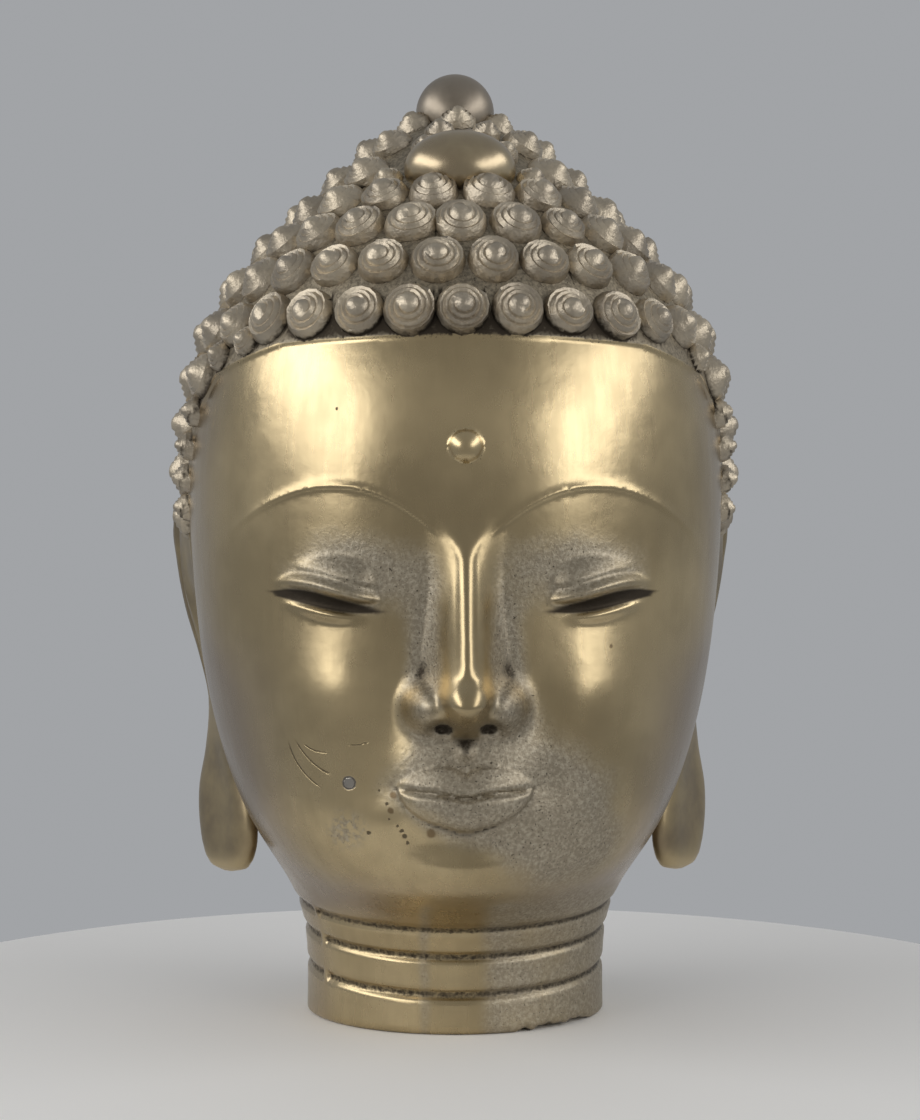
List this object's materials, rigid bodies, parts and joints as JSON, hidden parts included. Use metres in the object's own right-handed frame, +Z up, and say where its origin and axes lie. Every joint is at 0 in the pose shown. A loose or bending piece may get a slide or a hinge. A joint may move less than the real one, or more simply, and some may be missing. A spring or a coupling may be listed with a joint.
{
  "type": "buddha head",
  "caption": "Cast bronze buddha head with rows of snail-shell curls, a jewelled cranial bump, long ear lobes and a ringed neck that it stands on",
  "frame": {"origin": "the middle of the flat underside of the neck, on the surface that the head stands on", "axes": "+Z up along the neck's axis, the face looks along -Y, +X is the head's own left, the viewer's right"},
  "size_m": [0.1872, 0.2049, 0.3],
  "materials": {
    "bronze": "burnished yellow-brown bronze on the face, grey-brown patina in the recesses, the curls and the ears"
  },
  "bodies": {
    "root": {"head": "bronze"}
  },
  "joints": []
}
